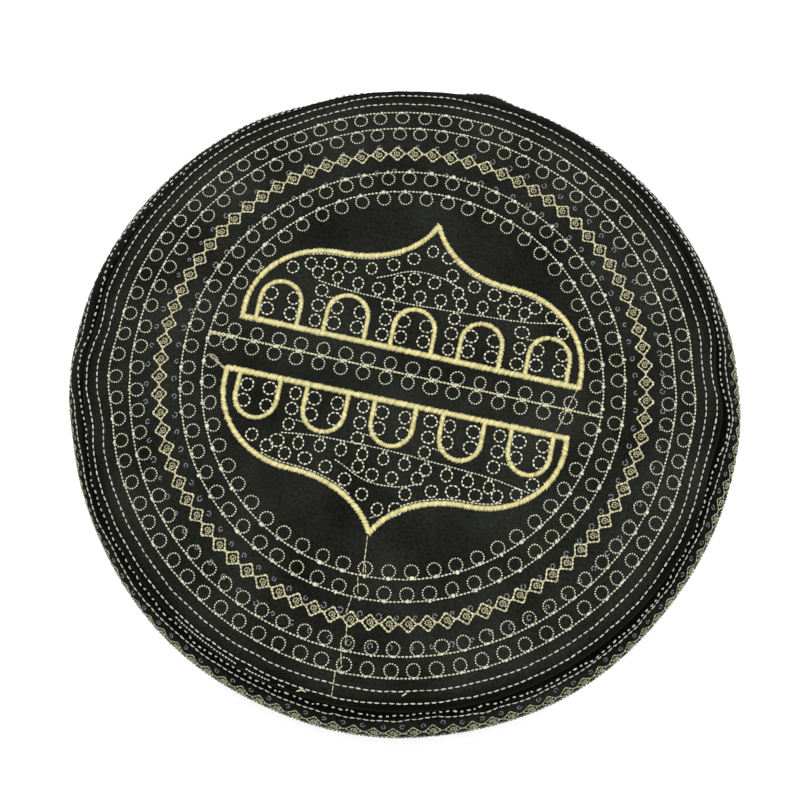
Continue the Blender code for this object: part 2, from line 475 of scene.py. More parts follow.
class BandGround(Ground):
    """The side band. A flat place is the length round the cap at the mean radius, and the length down it."""

    faces = -1.0
    mean_radius: float = 0.0920

    def __init__(self, shape: CapShape) -> None:
        """Draws the band's profile once."""
        super().__init__(shape)
        self.line = shape.band_line()
        self.reach = run_lengths(self.line)

    def relief(self, down: Array, azimuth: Array) -> Array:
        """The small puckers below the seam and along the band's rows of stitches."""
        turn = np.radians(azimuth)
        waves = np.sin(61 * turn + 8 * np.sin(4 * turn)) + 0.7 * np.sin(29 * turn + 6 * np.sin(7 * turn + 2))
        return 0.55 * self.shape.pucker * waves * swell(down, 0.0040, 0.0038)

    def points(self, flat: Array) -> Array:
        """The places in space of flat places on the band."""
        azimuth = np.degrees(flat[:, 0] / self.mean_radius)
        radius = np.interp(flat[:, 1], self.reach, self.line[:, 0])
        height = np.interp(flat[:, 1], self.reach, self.line[:, 1])
        out, up = self.shape.ease_band(height, azimuth)
        turn = np.radians(azimuth)
        radius = radius + out + self.relief(flat[:, 1], azimuth)
        return np.column_stack([radius * np.cos(turn), radius * np.sin(turn), height + up])


class RowGround(BandGround):
    """The side band, with lengths down it counted from a row of embroidery that dips and rises."""

    def __init__(self, shape: CapShape, eases: tuple[Ease, ...]) -> None:
        """Keeps the row's dips and rises, in millimetres."""
        super().__init__(shape)
        self.eases = eases

    def points(self, flat: Array) -> Array:
        """The places in space of flat places in the band's rows."""
        drop = MM * ease_at(self.eases, np.degrees(flat[:, 0] / self.mean_radius))
        return super().points(flat + np.column_stack([np.zeros_like(drop), drop]))


class Nodes:
    """Adds shader nodes to a material, and links them."""

    def __init__(self, name: str) -> None:
        """Starts a material of that name with one Principled shader."""
        self.material = bpy.data.materials.new(name)
        self.material.use_nodes = True
        self.tree = self.material.node_tree
        self.shader = self.tree.nodes["Principled BSDF"]

    def add(self, kind: str, **settings: object) -> bpy.types.Node:
        """A new node of a kind, with its settings and input values by name."""
        node = self.tree.nodes.new(kind)
        for name, value in settings.items():
            label = name.replace("_", " ").title()
            if label in node.inputs:
                node.inputs[label].default_value = value
            else:
                setattr(node, name, value)
        return node

    def link(self, source: bpy.types.NodeSocket, target: bpy.types.NodeSocket) -> None:
        """Joins two sockets."""
        self.tree.links.new(source, target)

    def blend(self, share: bpy.types.NodeSocket, first: tuple, second: tuple,
              reach: tuple[float, float] = (0.0, 1.0)) -> bpy.types.NodeSocket:
        """Blends two colours.

        Args:
            share: How far the blend is from the first colour.
            first: The first colour.
            second: The second colour.
            reach: The shares at which the blend leaves the first colour and meets the second.

        Returns:
            The blended colour.
        """
        ramp = self.add("ShaderNodeValToRGB")
        ramp.color_ramp.elements[0].position, ramp.color_ramp.elements[1].position = reach
        ramp.color_ramp.elements[0].color = (*first, 1.0)
        ramp.color_ramp.elements[1].color = (*second, 1.0)
        self.link(share, ramp.inputs["Fac"])
        return ramp.outputs["Color"]


@dataclass(frozen=True)
class TwillFinish:
    """Black twill cotton: fine slanting ribs, a little lint and painted shade from a per-point attribute."""

    name: str
    slot: str
    deep: tuple[float, float, float]
    lit_tone: tuple[float, float, float]
    specular: float
    roughness: float = 0.9
    rib_pitch: float = 0.00062
    rib_height: float = 0.00006

    def make(self) -> bpy.types.Material:
        """The finish's material, which reads the cloth's own UV map in metres and its per-point painted shade."""
        nodes = Nodes(self.name)
        weave = nodes.add("ShaderNodeUVMap", uv_map="weave")
        turned = nodes.add("ShaderNodeMapping", vector_type="POINT")
        turned.inputs["Rotation"].default_value = (0.0, 0.0, math.radians(52.0))
        nodes.link(weave.outputs["UV"], turned.inputs["Vector"])
        ribs = nodes.add("ShaderNodeTexWave", wave_type="BANDS", scale=0.314 / self.rib_pitch,
                         distortion=1.6, detail=1.0, detail_scale=1.2)
        nodes.link(turned.outputs["Vector"], ribs.inputs["Vector"])
        lint = nodes.add("ShaderNodeTexNoise", scale=1100.0, detail=3.0, roughness=0.65)
        nodes.link(weave.outputs["UV"], lint.inputs["Vector"])
        cloud = nodes.add("ShaderNodeTexNoise", scale=38.0, detail=3.0, roughness=0.55)
        nodes.link(weave.outputs["UV"], cloud.inputs["Vector"])
        mixed = nodes.add("ShaderNodeMath", operation="MULTIPLY_ADD")
        nodes.link(ribs.outputs["Fac"], mixed.inputs[0])
        mixed.inputs[1].default_value = 0.18
        nodes.link(lint.outputs["Fac"], mixed.inputs[2])
        tone = nodes.add("ShaderNodeMath", operation="MULTIPLY")
        nodes.link(mixed.outputs[0], tone.inputs[0])
        nodes.link(cloud.outputs["Fac"], tone.inputs[1])
        # Painted shade: the cloth's tone is multiplied by a per-point attribute that is low where shade falls, so the
        # cloth darkens there.
        painted_light = nodes.add("ShaderNodeAttribute", attribute_name="painted_light")
        lit_tone = nodes.add("ShaderNodeMath", operation="MULTIPLY")
        nodes.link(tone.outputs[0], lit_tone.inputs[0])
        nodes.link(painted_light.outputs["Fac"], lit_tone.inputs[1])
        colour = nodes.blend(lit_tone.outputs[0], self.deep, self.lit_tone, (0.10, 0.72))
        nodes.link(colour, nodes.shader.inputs["Base Color"])
        bump = nodes.add("ShaderNodeBump", strength=0.7, distance=self.rib_height)
        nodes.link(mixed.outputs[0], bump.inputs["Height"])
        nodes.link(bump.outputs["Normal"], nodes.shader.inputs["Normal"])
        nodes.shader.inputs["Roughness"].default_value = self.roughness
        nodes.shader.inputs["Specular IOR Level"].default_value = self.specular
        nodes.shader.inputs["Sheen Weight"].default_value = 0.01
        nodes.shader.inputs["Sheen Roughness"].default_value = 0.55
        return nodes.material


@dataclass(frozen=True)
class ThreadFinish:
    """Embroidery thread: brighter and darker stitches, a fine twist and a silky gloss."""

    name: str
    slot: str
    dark: tuple[float, float, float]
    light: tuple[float, float, float]
    roughness: float = 0.42
    specular: float = 0.45
    sheen: float = 0.25

    def make(self) -> bpy.types.Material:
        """The finish's material, which reads each stitch's shade and the thread's own UV map."""
        nodes = Nodes(self.name)
        shade = nodes.add("ShaderNodeAttribute", attribute_name="shade")
        twist = nodes.add("ShaderNodeUVMap", uv_map="twist")
        strands = nodes.add("ShaderNodeTexWave", wave_type="BANDS", bands_direction="DIAGONAL", scale=1600.0,
                            distortion=0.8, detail=1.0)
        nodes.link(twist.outputs["UV"], strands.inputs["Vector"])
        tone = nodes.add("ShaderNodeMath", operation="MULTIPLY_ADD")
        nodes.link(strands.outputs["Fac"], tone.inputs[0])
        tone.inputs[1].default_value = 0.18
        nodes.link(shade.outputs["Fac"], tone.inputs[2])
        colour = nodes.blend(tone.outputs[0], self.dark, self.light)
        nodes.link(colour, nodes.shader.inputs["Base Color"])
        bump = nodes.add("ShaderNodeBump", strength=0.5, distance=0.00004)
        nodes.link(strands.outputs["Fac"], bump.inputs["Height"])
        nodes.link(bump.outputs["Normal"], nodes.shader.inputs["Normal"])
        nodes.shader.inputs["Roughness"].default_value = self.roughness
        nodes.shader.inputs["Specular IOR Level"].default_value = self.specular
        nodes.shader.inputs["Sheen Weight"].default_value = self.sheen
        nodes.shader.inputs["Sheen Roughness"].default_value = 0.4
        return nodes.material


@dataclass(frozen=True)
class Thread:
    """How one kind of stitch lies: its width and height, its bow, the share that shows and how much painted shade
    darkens its ends.
    """

    width: float
    height: float
    bow: float
    shows: float
    sides: int = 6
    rings: int = 4
    fade: float = 0.0


BEAD = Thread(width=0.00042, height=0.00034, bow=0.00008, shows=0.74)
LINE = Thread(width=0.00044, height=0.00036, bow=0.00008, shows=0.78)
CHAIN = Thread(width=0.00049, height=0.00040, bow=0.00010, shows=0.84)
FINE = Thread(width=0.00041, height=0.00034, bow=0.00006, shows=0.82)
BLOB = Thread(width=0.00068, height=0.00050, bow=0.00010, shows=0.94)
RUNNING = Thread(width=0.00040, height=0.00034, bow=0.00012, shows=0.80, rings=5)
DIAMOND = Thread(width=0.00056, height=0.00042, bow=0.00008, shows=1.06)
BAND_DIAMOND = Thread(width=0.00042, height=0.00034, bow=0.00008, shows=0.96)
DASH = Thread(width=0.00046, height=0.00036, bow=0.00008, shows=0.80)
TUCKED = Thread(width=0.00056, height=0.00046, bow=0.00010, shows=0.56)
CLOSE = Thread(width=0.00040, height=0.00034, bow=0.00010, shows=0.88)
SUNK = Thread(width=0.00056, height=0.00044, bow=0.00008, shows=0.19)
LOOSE = Thread(width=0.00030, height=0.00028, bow=0.0, shows=1.0)
TAIL = Thread(width=0.00044, height=0.00040, bow=0.00006, shows=1.0)
SATIN = Thread(width=0.00036, height=0.00030, bow=0.00026, shows=1.0, sides=5, rings=5, fade=0.5)


class Embroidery:
    """Collects the stitches of one piece, on one ground, and makes its mesh from them."""

    def __init__(self, name: str, ground: Ground, seed: int, oval: float = 0.03) -> None:
        """Starts an empty piece.

        Args:
            name: The piece's name.
            ground: The cloth that it is sewn to.
            seed: The seed of its small differences from stitch to stitch.
            oval: How far its small circles are from round, as a share of their width.
        """
        self.oval = oval
        self.name = name
        self.ground = ground
        self.rng = np.random.default_rng(seed)
        self.runs: list[tuple[Thread, Array, Array, Array]] = []

    def sew(self, start: Array, end: Array, thread: Thread, shade: float = 0.5, vary: float = 0.16) -> None:
        """Adds stitches from flat places to flat places.

        Args:
            start: Where each stitch comes up, one to a row.
            end: Where each goes down.
            thread: The kind of stitch.
            shade: How light the stitches are, from 0 to 1.
            vary: How much that differs between stitches.
        """
        shades = np.clip(shade + vary * self.rng.standard_normal(len(start)), 0.0, 1.0)
        self.runs.append((thread, np.atleast_2d(start), np.atleast_2d(end), shades))

    def follow(self, line: Array, pitch: float, thread: Thread, shade: float = 0.5, sway: float = 0.00004) -> None:
        """Sews running stitches of about one pitch along a line of flat points."""
        stops = spaced(line, pitch)
        stops = stops + sway * self.rng.standard_normal(stops.shape)
        self.sew(stops[:-1], stops[1:], thread, shade)

    def rings(self, centres: Array, radius: Array, count: int, thread: Thread, shade: float = 0.5,
              first: float | Array = 0.0, share: float = 1.0, narrow: float = 1.0) -> None:
        """Sews small circles of short stitches.

        Args:
            centres: The circles' flat centres, one to a row.
            radius: Their radius, or one for each.
            count: How many stitches each circle has.
            thread: The kind of stitch.
            shade: How light the stitches are.
            first: The angle at which the first stitch starts, in radians, or one for each.
            share: The share of each circle that is sewn.
            narrow: The circles' width as a share of their height.
        """
        centres = np.atleast_2d(centres)
        number = len(centres)
        turn = np.broadcast_to(first, number)[:, None] + np.linspace(0.0, 2.0 * math.pi * share, count + 1)[None, :]
        size = np.broadcast_to(radius, number)[:, None] * (1.0 + 0.03 * self.rng.standard_normal((number, count + 1)))
        if share == 1.0:
            size[:, -1] = size[:, 0]
        widths = narrow * (1.0 + self.oval * self.rng.standard_normal((number, 1)))
        x = centres[:, :1] + widths * size * np.cos(turn)
        y = centres[:, 1:] + size * np.sin(turn)
        stops = np.stack([x, y], axis=2)
        self.sew(stops[:, :-1].reshape(-1, 2), stops[:, 1:].reshape(-1, 2), thread, shade)

    def satin(self, line: Array, width: float, pitch: float = 0.00027, slant: float = 22.0, shade: float = 0.58) -> None:
        """Sews a satin column: close threads across a line.

        Args:
            line: The column's middle line, as flat points.
            width: The column's width.
            pitch: The distance between threads.
            slant: How far the threads lean from straight across, in degrees.
            shade: How light the threads are.
        """
        stops = spaced(line, pitch)
        along = np.gradient(stops, axis=0)
        along /= np.linalg.norm(along, axis=1, keepdims=True)
        stops = stops + 0.00002 * along * self.rng.standard_normal((len(stops), 1))
        lean = math.radians(90.0 - slant)
        across = np.column_stack([
            along[:, 0] * math.cos(lean) - along[:, 1] * math.sin(lean),
            along[:, 0] * math.sin(lean) + along[:, 1] * math.cos(lean),
        ])
        half = 0.5 * width * (1.0 + 0.13 * self.rng.standard_normal((len(stops), 1)))
        self.sew(stops - across * half, stops + across * half, SATIN, shade, 0.17)

    @staticmethod
    def pattern(thread: Thread) -> tuple[Array, list[list[int]]]:
        """One stitch of a kind, of half length and half width 1, lying along X, as points and faces."""
        bm = bmesh.new()
        bmesh.ops.create_uvsphere(bm, u_segments=thread.sides, v_segments=thread.rings, radius=1.0)
        bmesh.ops.rotate(bm, verts=bm.verts, cent=(0, 0, 0), matrix=Matrix.Rotation(0.5 * math.pi, 3, "Y"))
        bm.verts.index_update()
        points = np.array([v.co[:] for v in bm.verts])
        faces = [[v.index for v in face.verts] for face in bm.faces]
        bm.free()
        return points, faces

    def run_mesh(self, thread: Thread, start: Array, end: Array) -> tuple[Array, Array, Array, Array]:
        """Places copies of one kind of stitch.

        Args:
            thread: The kind of stitch.
            start: Where each comes up.
            end: Where each goes down.

        Returns:
            The points in space, the corners of the faces, the number of corners of each face, and a UV
            for each corner.
        """
        shape, faces = self.pattern(thread)
        head, head_up = self.ground.set_in(start)
        foot, foot_up = self.ground.set_in(end)
        middle, up = self.ground.set_in(0.5 * (start + end))
        reach = 0.5 * (foot - head)
        half = np.linalg.norm(reach, axis=1, keepdims=True)
        along = reach / np.maximum(half, 1e-7)
        up = up - np.sum(up * along, axis=1, keepdims=True) * along
        up /= np.linalg.norm(up, axis=1, keepdims=True)
        across = np.cross(up, along)
        size = 1.0 + 0.08 * self.rng.standard_normal((len(start), 1))
        middle = 0.35 * (head + foot) + 0.30 * middle + up * (0.30 * thread.height + thread.bow)
        x, y, z = shape[:, 0], shape[:, 1], shape[:, 2]
        places = (
            middle[:, None]
            + (x[:, None] * thread.shows)[None] * (half * along)[:, None]
            + (0.5 * thread.width * y[:, None])[None] * (size * across)[:, None]
            + (0.5 * thread.height * z[:, None])[None] * up[:, None]
            - (thread.bow * x[:, None] ** 2)[None] * up[:, None]
        )
        count, step = len(start), len(shape)
        corners = np.concatenate([np.array(face) for face in faces])
        totals = np.array([len(face) for face in faces])
        shift = np.arange(count)[:, None] * step
        uv = np.empty((count, len(corners), 2))
        uv[:, :, 0] = shape[corners, 0][None] * half + np.arange(count)[:, None] * 0.0037
        uv[:, :, 1] = (np.arctan2(z, y)[corners] * 0.5 * thread.width)[None]
        return (
            places.reshape(-1, 3), (corners[None] + shift).reshape(-1), np.tile(totals, count), uv.reshape(-1, 2),
        )

    def make(self, material: bpy.types.Material, slot: str) -> bpy.types.Object:
        """Joins all stitches into one piece that rides on the cap.

        Args:
            material: The thread's finish.
            slot: Not used.

        Returns:
            The piece.
        """
        places, corners, totals, uvs, shades = [], [], [], [], []
        shift = 0
        for thread, start, end, shade in self.runs:
            co, loop, total, uv = self.run_mesh(thread, start, end)
            places.append(co)
            corners.append(loop + shift)
            totals.append(total)
            uvs.append(uv)
            # Painted shade: each stitch's colour darkens towards its ends, where it dives into the cloth.
            ends = self.pattern(thread)[0][:, 0] ** 2
            shades.append(np.maximum(shade[:, None] - thread.fade * ends[None], 0.0).ravel())
            shift += len(co)
        co, loop, total = np.concatenate(places), np.concatenate(corners), np.concatenate(totals)
        mesh = bpy.data.meshes.new(self.name)
        mesh.vertices.add(len(co))
        mesh.vertices.foreach_set("co", co.astype(np.float32).ravel())
        mesh.loops.add(len(loop))
        mesh.loops.foreach_set("vertex_index", loop.astype(np.int32))
        mesh.polygons.add(len(total))
        mesh.polygons.foreach_set("loop_start", np.concatenate([[0], np.cumsum(total)[:-1]]).astype(np.int32))
        mesh.update(calc_edges=True)
        mesh.uv_layers.new(name="twist").data.foreach_set("uv", np.concatenate(uvs).astype(np.float32).ravel())
        attribute = mesh.attributes.new("shade", "FLOAT", "POINT")
        attribute.data.foreach_set("value", np.concatenate(shades).astype(np.float32))
        mesh.validate()
        mesh.shade_smooth()
        mesh.materials.append(material)
        piece = bpy.data.objects.new(self.name, mesh)
        bpy.context.scene.collection.objects.link(piece)
        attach(piece, "root")
        LOG.info("%s: %d stitches, %d triangles", self.name, sum(len(run[1]) for run in self.runs), int((total - 2).sum()))
        return piece


@dataclass(frozen=True)
class TurnedCloth:
    """A cloth that is turned from its profile and eased into shape, with its thickness on the inner side."""

    name: str
    node: str
    around: int
    pitch: float

    def mesh(self, line: Array, place, flat_of) -> bpy.types.Mesh:
        """Turns the profile and places each point.

        Args:
            line: The profile as rows of (radius, height).
            place: Gives the places in space of flat lengths down and azimuths.
            flat_of: Gives the UV of lengths down and azimuths.

        Returns:
            The mesh, with its UV map in metres.
        """
        reach = run_lengths(line)
        count = round(reach[-1] / self.pitch)
        stops = np.unique(np.concatenate([np.linspace(0.0, reach[-1], count), reach[-2:-1]]))
        bm = bmesh.new()
        down = bm.verts.layers.float.new("down")
        row = []
        for at in stops:
            vertex = bm.verts.new((np.interp(at, reach, line[:, 0]), 0.0, np.interp(at, reach, line[:, 1])))
            vertex[down] = at
            row.append(vertex)
        edges = [bm.edges.new(pair) for pair in zip(row, row[1:])]
        bmesh.ops.spin(bm, geom=row + edges, cent=(0, 0, 0), axis=(0, 0, 1), angle=2.0 * math.pi,
                       steps=self.around, use_merge=True)
        bmesh.ops.remove_doubles(bm, verts=bm.verts, dist=0.000001)
        bmesh.ops.recalc_face_normals(bm, faces=bm.faces)
        lengths = np.array([vertex[down] for vertex in bm.verts])
        azimuths = np.degrees(np.array([math.atan2(vertex.co.y, vertex.co.x) for vertex in bm.verts])) % 360.0
        if sum(face.normal.dot(face.calc_center_median()) for face in bm.faces) < 0.0:
            bmesh.ops.reverse_faces(bm, faces=bm.faces)
        uv = bm.loops.layers.uv.new("weave")
        bm.verts.index_update()
        for face in bm.faces:
            turns = [azimuths[loop.vert.index] for loop in face.loops]
            wraps = max(turns) - min(turns) > 180.0
            for loop, turn in zip(face.loops, turns):
                turn = turn + 360.0 if wraps and turn < 180.0 else turn
                loop[uv].uv = flat_of(lengths[loop.vert.index], turn)
        for vertex, spot in zip(bm.verts, place(lengths, azimuths)):
            vertex.co = spot
        mesh = bpy.data.meshes.new(self.name)
        bm.to_mesh(mesh)
        bm.free()
        mesh.shade_smooth()
        return mesh

    def dress(self, mesh: bpy.types.Mesh, shape: CapShape, material: bpy.types.Material) -> bpy.types.Object:
        """Gives the cloth its thickness and finish, and lets it stand for its CAD node.

        Args:
            mesh: The cloth's outer side.
            shape: The cap's sizes.
            material: The cloth's finish.

        Returns:
            The piece.
        """
        mesh.materials.append(material)
        piece = bpy.data.objects.new(self.name, mesh)
        bpy.context.scene.collection.objects.link(piece)
        wall = piece.modifiers.new("cloth", "SOLIDIFY")
        wall.thickness = shape.cloth
        wall.offset = -1.0
        wall.use_even_offset = True
        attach(piece, "root")
        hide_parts(self.node)
        LOG.info("%s: %d faces before its thickness", self.name, len(mesh.polygons))
        return piece


class Cloths:
    """The top panel and the side band."""

    def __init__(self, shape: CapShape, panel: PanelGround, band: BandGround) -> None:
        """Keeps the cap's sizes and its two surfaces."""
        self.shape = shape
        self.panel = panel
        self.band = band

    @staticmethod
    def painted_light(mesh: bpy.types.Mesh, share: Array) -> None:
        """Keeps how much painted light each point of a cloth gets: painted shade is darkest in the seam's fold."""
        mesh.attributes.new("painted_light", "FLOAT", "POINT").data.foreach_set("value", share.astype(np.float32))

    @staticmethod
    def reaches(mesh: bpy.types.Mesh) -> tuple[Array, Array]:
        """The radius and the height of each point of a mesh."""
        places = np.array([vertex.co[:] for vertex in mesh.vertices])
        return np.hypot(places[:, 0], places[:, 1]), places[:, 2]

    def make(self, panel_finish: TwillFinish, band_finish: TwillFinish) -> None:
        """Makes both cloths and dresses them."""
        line = self.panel.line
        reach = run_lengths(line)

        def place_panel(down: Array, azimuth: Array) -> Array:
            """Places points of the panel by their length from its middle."""
            return self.panel.placed(np.interp(down, reach, line[:, 0]), np.interp(down, reach, line[:, 1]), azimuth)

        def flat_panel(down: float, azimuth: float) -> tuple[float, float]:
            """The panel's UV: the flat disc."""
            return down * math.cos(math.radians(azimuth)), down * math.sin(math.radians(azimuth))

        top = TurnedCloth("top_panel_cloth", "top_panel", 240, 0.0014)
        mesh = top.mesh(line, place_panel, flat_panel)
        radius, _ = self.reaches(mesh)
        # Painted shade: the panel darkens towards its sewn edge, in the seam's fold.
        self.painted_light(mesh, 1.0 - 0.66 * swell(radius, self.shape.panel_radius, 0.0046))
        top.dress(mesh, self.shape, panel_finish.make())

        mean = self.band.mean_radius

        def place_band(down: Array, azimuth: Array) -> Array:
            """Places points of the band by their length from its top edge."""
            return self.band.points(np.column_stack([np.radians(azimuth) * mean, down]))

        def flat_band(down: float, azimuth: float) -> tuple[float, float]:
            """The band's UV: the flat strip."""
            return math.radians(azimuth) * mean, down

        side = TurnedCloth("side_band_cloth", "side_band", 300, 0.0011)
        mesh = side.mesh(self.band.line, place_band, flat_band)
        _, height = self.reaches(mesh)
        # Painted shade: the whole band is painted darker than the panel, and darkest just under the seam.
        self.painted_light(mesh, 0.72 - 0.50 * swell(height, self.shape.band_top, 0.0035))
        side.dress(mesh, self.shape, band_finish.make())


def pushed_out(radius: float, azimuth: Array) -> Array:
    """A ring's radius at each azimuth, as the puckers of the shoulder push it."""
    return radius + MM * float(swell(np.array(radius), 0.0819, 0.009)) * ease_at(SHOULDER_EASES, azimuth % 360.0)


def polar(radius: float | Array, azimuth: float | Array) -> Array:
    """Flat places on the panel of radii and azimuths in degrees."""
    turn = np.radians(azimuth)
    return np.column_stack([np.atleast_1d(radius * np.cos(turn)), np.atleast_1d(radius * np.sin(turn))])


@dataclass(frozen=True)
class CrownRings:
    """The rings of embroidery round the panel: circles on lines, diamonds, small loops and running stitches."""

    circle_radius: float = 0.0018
    circle_stitches: int = 16
    line_stitches: int = 6
    diamond_radius: float = 0.0652
    diamond_count: int = 82
    diamond_azimuth: float = 14.85
    diamond_half: float = 0.0021
    running_pitch: float = 0.00182
    running_radii: tuple[float, float] = (0.0819, 0.0850)
    start_azimuth: float = 269.0
    edge_radius: float = 0.0861
    edge_azimuths: tuple[tuple[float, float], ...] = ((238.0, 251.5), (253.2, 258.0), (259.4, 260.8))
    running_pushes: tuple[float, float] = (0.45, 1.0)
    running_sway: float = 0.00006

    def circles(self, work: Embroidery, line_work: Embroidery) -> None:
        """Sews the four lines, and the circles that hang inwards from them on a piece of their own."""
        for row in CIRCLE_ROWS:
            azimuth = row.azimuth + 360.0 / row.count * np.arange(row.count)
            azimuth = azimuth + 0.10 * work.rng.standard_normal(row.count)
            hang = pushed_out(row.radius, azimuth) - self.circle_radius - 0.00012
            centres = polar(hang, azimuth) + 0.00005 * work.rng.standard_normal((row.count, 2))
            work.rings(centres, self.circle_radius, self.circle_stitches, BEAD, 0.52, np.radians(azimuth))
            turns = np.linspace(self.start_azimuth, self.start_azimuth + 360.0, 721)
            pitch = 2.0 * math.pi * row.radius / (row.count * self.line_stitches)
            line_work.follow(polar(pushed_out(row.radius, turns), turns), pitch, CHAIN, row.shade)
            reach = np.degrees(0.00054 / row.radius) * (1.0 + 0.22 * line_work.rng.standard_normal(row.count))
            lean = 0.15 * line_work.rng.standard_normal(row.count)
            side = 0.00010 * line_work.rng.standard_normal(row.count)
            for knot in range(row.knots):
                at = pushed_out(row.radius, azimuth) + side + 0.00040 * (knot - 0.5 * (row.knots - 1))
                line_work.sew(polar(at, azimuth - reach + lean), polar(at, azimuth + reach + lean), BLOB, 0.56)

    def diamonds(self, work: Embroidery) -> None:
        """Sews the ring of linked diamonds with a curl in each."""
        azimuth = self.diamond_azimuth + 360.0 / self.diamond_count * np.arange(self.diamond_count)
        middle = polar(self.diamond_radius, azimuth)
        out = polar(1.0, azimuth)
        side = np.column_stack([-out[:, 1], out[:, 0]])
        sew_diamonds(work, middle, out, side, (self.diamond_half, self.diamond_half), DIAMOND)
        half_turn = 180.0 / self.diamond_count
        bridge = np.degrees((self.diamond_half - 0.0001) / self.diamond_radius)
        work.sew(polar(self.diamond_radius, azimuth + bridge), polar(self.diamond_radius, azimuth + 2 * half_turn - bridge),
                 DIAMOND, 0.45)

    def loops(self, work: Embroidery) -> None:
        """Sews the dim loops on both sides of the diamonds."""
        shift = polar(0.0020, np.array([297.0]))
        for row in LOOP_ROWS:
            azimuth = row.azimuth + 360.0 / row.count * np.arange(row.count)
            centres = polar(row.radius, azimuth) + shift
            centres = centres + 0.00012 * work.rng.standard_normal(centres.shape)
            radius = 0.00068 * (1.0 + 0.12 * work.rng.standard_normal(row.count))
            work.rings(centres, radius, 6, FINE, 0.5, work.rng.uniform(0, 6.28, row.count), 0.86, 0.85)

    def running(self, work: Embroidery) -> None:
        """Sews the two running lines inside the seam, and the short third one on the turned-down edge."""
        turns = np.linspace(self.start_azimuth, self.start_azimuth + 360.0, 721)
        turn = np.radians(turns)
        for radius, share in zip(self.running_radii, self.running_pushes):
            shift = work.rng.uniform(0.0, 6.28, 3)
            waves = np.sin(11 * turn + shift[0]) + 0.8 * np.sin(26 * turn + shift[1]) + 0.6 * np.sin(47 * turn + shift[2])
            pushed = pushed_out(radius, turns) + MM * share * ease_at(EDGE_EASES, turns % 360.0) + self.running_sway * waves
            work.follow(polar(pushed, turns), self.running_pitch, RUNNING, 0.5, 0.00006)
        for start, end in self.edge_azimuths:
            short = np.linspace(start, end, 40)
            work.follow(polar(self.edge_radius, short), 0.5 * self.running_pitch, FINE, 0.45)

    def threads(self, work: Embroidery) -> None:
        """Lays the threads that jump from ring to ring, and the loose tails."""
        for rows, thread, shade in ((RING_JUMPS, LOOSE, 0.55), (TAILS, TAIL, 0.75)):
            for row in rows:
                start, end = polar(row.start_radius, row.start_azimuth), polar(row.end_radius, row.end_azimuth)
                line = start + (end - start) * np.linspace(0.0, 1.0, 7)[:, None]
                work.follow(line, 0.0016, thread, shade, 0.00002)


def sew_diamonds(work: Embroidery, middle: Array, out: Array, side: Array, halves: tuple[float, float],
                 thread: Thread) -> None:
    """Sews diamonds with a ring and a knot in each.

    Args:
        work: The piece that they belong to.
        middle: Their flat middles, one to a row.
        out: The unit direction of one diagonal, one to a row.
        side: The unit direction of the other diagonal.
        halves: Half of each diagonal, along out and along side.
        thread: The kind of stitch of their sides.
    """
    tall, wide = halves
    tips = (tall * out, wide * side, -tall * out, -wide * side)
    for first, second in zip(tips, tips[1:] + tips[:1]):
        start, end = middle + first, middle + second
        for part in range(3):
            a, b = part / 3.0, (part + 1) / 3.0
            work.sew(start + (end - start) * a, start + (end - start) * b, thread, 0.55, 0.24)
    turns = np.linspace(0.2, 2.0 * math.pi * 1.55, 15)
    size = np.linspace(1.0, 0.18, 15) * 0.50
    stops = [middle + r * (math.cos(t) * tall * out + math.sin(t) * wide * side) for r, t in zip(size, turns)]
    for start, end in zip(stops, stops[1:]):
        work.sew(start, end, LINE, 0.60, 0.24)


